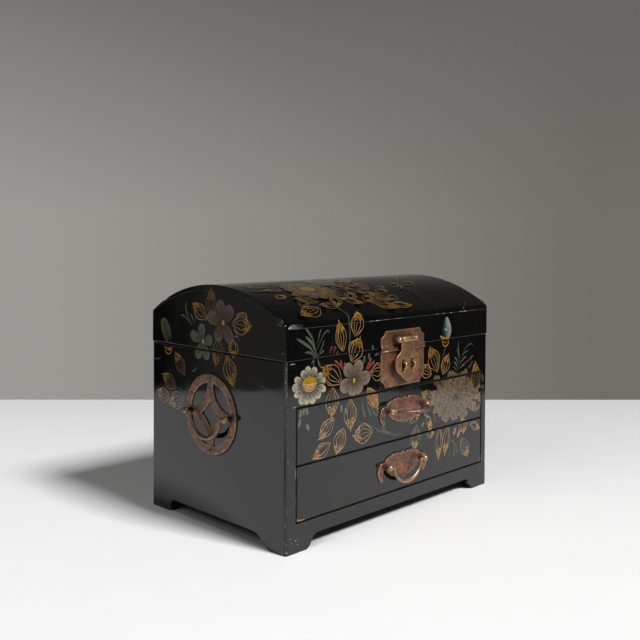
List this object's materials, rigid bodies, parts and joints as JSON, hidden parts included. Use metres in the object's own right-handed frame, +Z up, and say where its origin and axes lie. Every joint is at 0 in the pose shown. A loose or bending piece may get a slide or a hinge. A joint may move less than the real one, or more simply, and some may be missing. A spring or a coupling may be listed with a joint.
{
  "type": "mahjong case with drawers",
  "caption": "Black lacquered box on bracket feet, with a hinged domed lid, a hasp latch, drawers behind the front and swinging carrying handles.",
  "frame": {"origin": "on the floor, at the middle of the box that holds the whole object", "axes": "+Z up, -Y towards the drawers and the latch, +X to the right as seen from the front"},
  "size_m": [0.3262, 0.2312, 0.2296],
  "materials": {
    "lacquer": "glossy black lacquer, chipped at the edges",
    "inner_wood": "satin red-brown stain inside",
    "aged_brass": "oxidised copper-brown",
    "bright_brass": "rubbed bright",
    "lining": "crimson felt"
  },
  "bodies": {
    "case": {"side_panel_left": "lacquer", "side_panel_right": "lacquer", "back_panel": "lacquer", "front_apron": "lacquer", "fascia_board": "lacquer", "tray_floor": "lacquer", "base_panel": "lacquer", "drawer_runners": "inner_wood", "tray_lining": "lining", "latch_plate_lower": "aged_brass", "latch_staples": "bright_brass", "latch_nails_lower": "aged_brass", "side_plate_left": "aged_brass", "side_posts_left": "aged_brass", "side_nails_left": "aged_brass", "side_plate_right": "aged_brass", "side_posts_right": "aged_brass", "side_nails_right": "aged_brass", "hinge_leaf_case_left": "aged_brass", "hinge_leaf_case_right": "aged_brass", "hinge_pins": "bright_brass", "hinge_screws_case": "aged_brass"},
    "lid": {"lid_top": "lacquer", "lid_end_left": "lacquer", "lid_end_right": "lacquer", "lid_front_rail": "lacquer", "lid_back_rail": "lacquer", "latch_plate_upper": "aged_brass", "latch_posts": "aged_brass", "latch_pin": "bright_brass", "latch_nails_upper": "aged_brass", "hinge_leaf_lid_left": "aged_brass", "hinge_leaf_lid_right": "aged_brass", "hinge_screws_lid": "aged_brass"},
    "hasp": {"hasp": "aged_brass"},
    "drawer_upper": {"drawer_upper_front": "lacquer", "drawer_upper_side_left": "inner_wood", "drawer_upper_side_right": "inner_wood", "drawer_upper_back": "inner_wood", "drawer_upper_bottom": "inner_wood", "drawer_upper_lining": "lining", "drawer_upper_pull_plate": "aged_brass", "drawer_upper_pull_posts": "aged_brass", "drawer_upper_pull_nails": "aged_brass"},
    "drawer_lower": {"drawer_lower_front": "lacquer", "drawer_lower_side_left": "inner_wood", "drawer_lower_side_right": "inner_wood", "drawer_lower_back": "inner_wood", "drawer_lower_bottom": "inner_wood", "drawer_lower_lining": "lining", "drawer_lower_pull_plate": "aged_brass", "drawer_lower_pull_posts": "aged_brass", "drawer_lower_pull_nails": "aged_brass"},
    "bail_upper": {"bail_upper": "aged_brass"},
    "bail_lower": {"bail_lower": "aged_brass"},
    "side_bail_left": {"side_bail_left": "aged_brass"},
    "side_bail_right": {"side_bail_right": "aged_brass"}
  },
  "joints": [
    {"name": "lid_hinge", "type": "hinge", "parent": "case", "child": "lid", "pos_m": [0, 0.1131, 0.1672], "axis": [-1, 0, 0], "range_deg": [0, 100]},
    {"name": "hasp_swing", "type": "hinge", "parent": "lid", "child": "hasp", "pos_m": [0.0045, -0.0958, 0.1749], "axis": [-1, 0, 0], "range_deg": [0, 120]},
    {"name": "drawer_upper_slide", "type": "slide", "parent": "case", "child": "drawer_upper", "axis": [0, -1, 0], "range_m": [0, 0.14]},
    {"name": "drawer_lower_slide", "type": "slide", "parent": "case", "child": "drawer_lower", "axis": [0, -1, 0], "range_m": [0, 0.14]},
    {"name": "bail_upper_swing", "type": "hinge", "parent": "drawer_upper", "child": "bail_upper", "pos_m": [0.008, -0.0964, 0.10645], "axis": [-1, 0, 0], "range_deg": [-100, 80]},
    {"name": "bail_lower_swing", "type": "hinge", "parent": "drawer_lower", "child": "bail_lower", "pos_m": [0.0055, -0.0964, 0.05235], "axis": [-1, 0, 0], "range_deg": [-10, 170]},
    {"name": "side_bail_left_swing", "type": "hinge", "parent": "case", "child": "side_bail_left", "pos_m": [-0.1597, 0.0141, 0.1073], "axis": [0, 1, 0], "range_deg": [-8, 170]},
    {"name": "side_bail_right_swing", "type": "hinge", "parent": "case", "child": "side_bail_right", "pos_m": [0.1597, 0.0141, 0.1073], "axis": [0, -1, 0], "range_deg": [-8, 170]}
  ]
}
